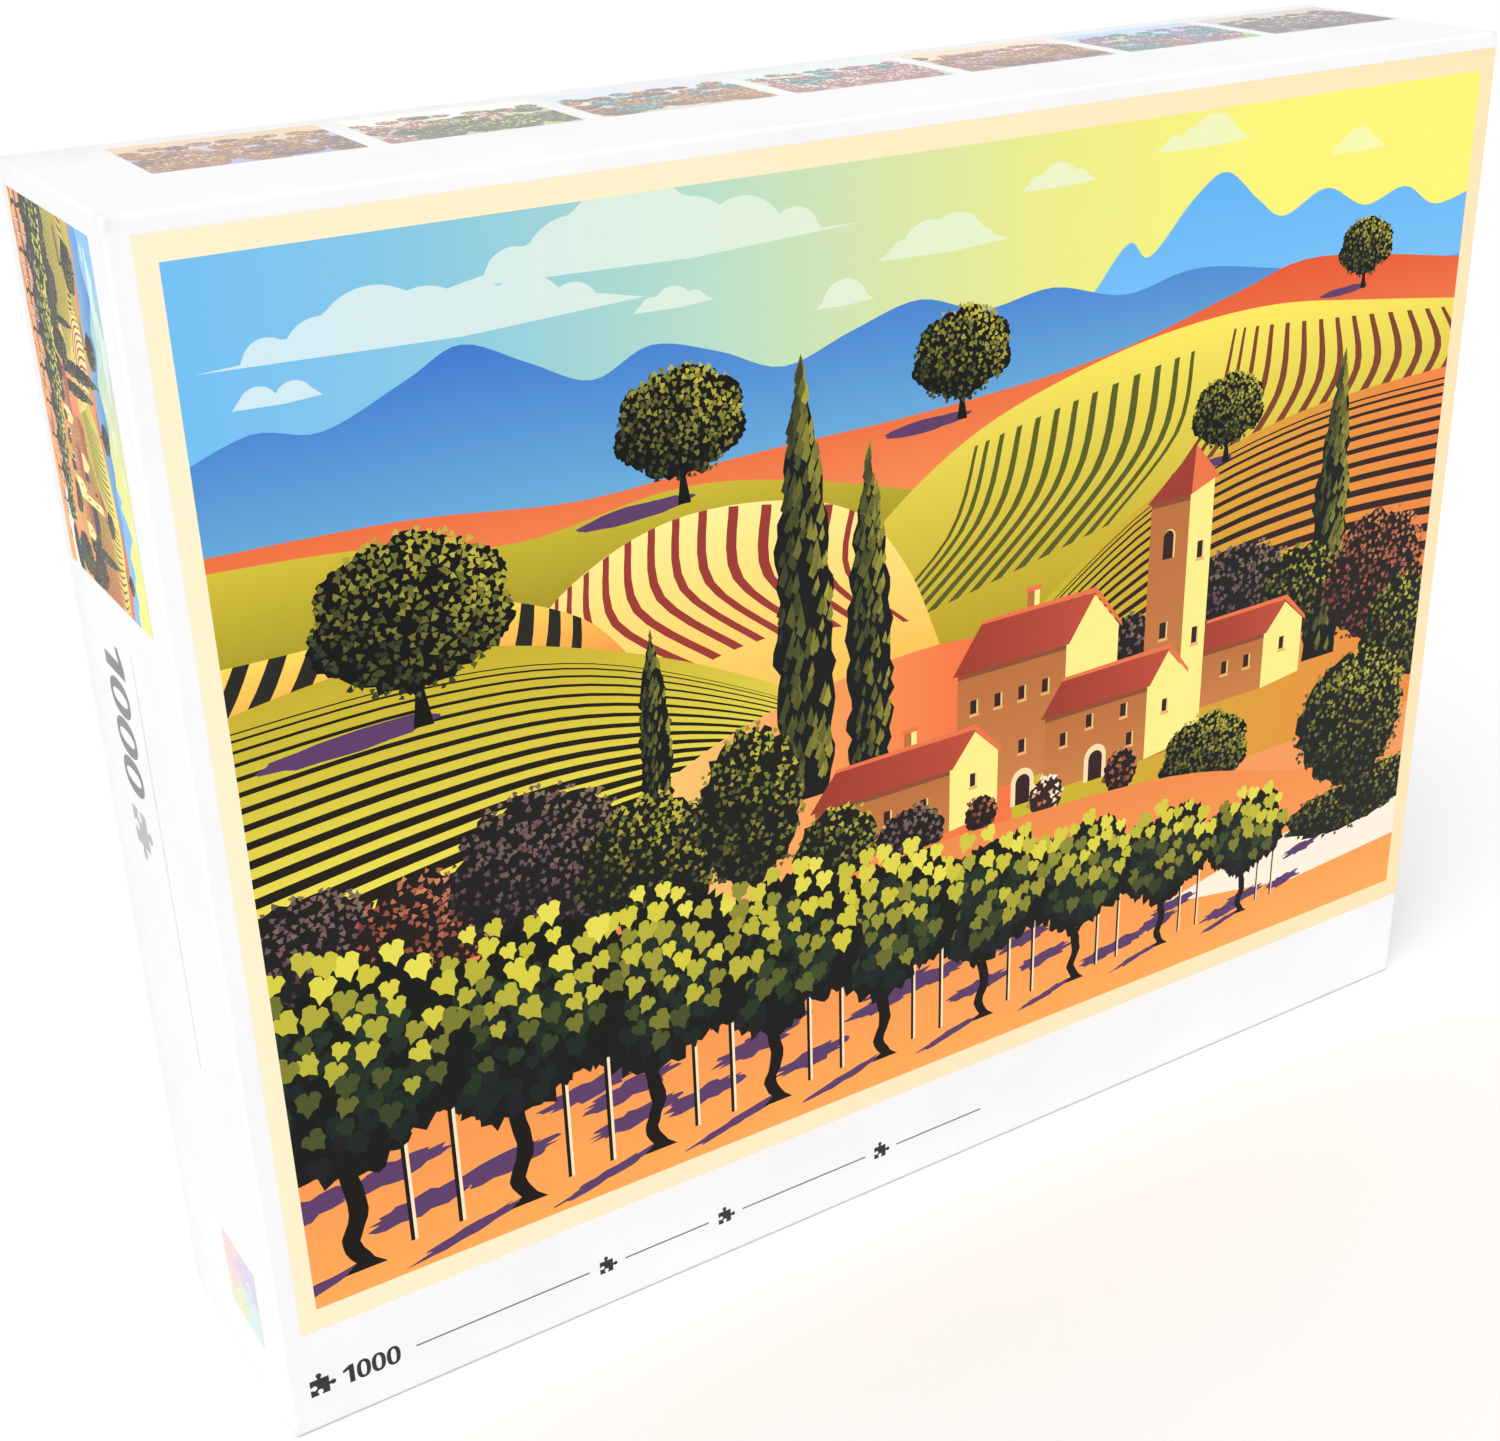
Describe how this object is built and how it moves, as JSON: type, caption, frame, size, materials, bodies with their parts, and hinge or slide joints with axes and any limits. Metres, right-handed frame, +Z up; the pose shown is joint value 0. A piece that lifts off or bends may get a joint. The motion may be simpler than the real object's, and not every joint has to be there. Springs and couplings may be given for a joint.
{
  "type": "boxed jigsaw puzzle",
  "caption": "Two-piece lift-off-lid box with a printed landscape wrap, holding a bag of loose jigsaw pieces and a folded poster, standing on its long side.",
  "frame": {"origin": "middle of the long side wall that the box stands on", "axes": "+Z up, +X along the box's long side, -Y out of the lid's printed picture panel"},
  "size_m": [0.356, 0.07, 0.28],
  "materials": {
    "greyboard": "matt recycled greyboard",
    "lid_paper": "coated printed paper, satin",
    "tray_paper": "uncoated white paper",
    "stay_tape": "brown kraft paper tape",
    "poster_paper": "coated printed paper",
    "bag_film": "clear thin poly film",
    "piece_board": "die-cut board, printed on one face"
  },
  "bodies": {
    "tray": {"tray_board": "greyboard", "tray_wrap": "tray_paper", "tray_corner_stay_1": "stay_tape", "tray_corner_stay_2": "stay_tape", "tray_corner_stay_3": "stay_tape", "tray_corner_stay_4": "stay_tape"},
    "lid": {"lid_board": "greyboard", "lid_wrap": "lid_paper", "lid_corner_stay_1": "stay_tape", "lid_corner_stay_2": "stay_tape", "lid_corner_stay_3": "stay_tape", "lid_corner_stay_4": "stay_tape"},
    "poster": {"poster": "poster_paper"},
    "bag": {"puzzle_bag": "bag_film", "corner_pieces": "piece_board", "edge_pieces": "piece_board", "inner_pieces_1": "piece_board", "inner_pieces_2": "piece_board", "inner_pieces_3": "piece_board", "inner_pieces_4": "piece_board", "inner_pieces_5": "piece_board", "inner_pieces_6": "piece_board", "inner_pieces_7": "piece_board", "inner_pieces_8": "piece_board"}
  },
  "joints": [
    {"name": "lid_slide", "type": "slide", "parent": "tray", "child": "lid", "axis": [0, -1, 0], "range_m": [0, 0.1]},
    {"name": "poster_slide", "type": "slide", "parent": "tray", "child": "poster", "axis": [0, 0, 1], "range_m": [0, 0.09]},
    {"name": "bag_slide", "type": "slide", "parent": "tray", "child": "bag", "axis": [0, 0, 1], "range_m": [0, 0.138]}
  ]
}
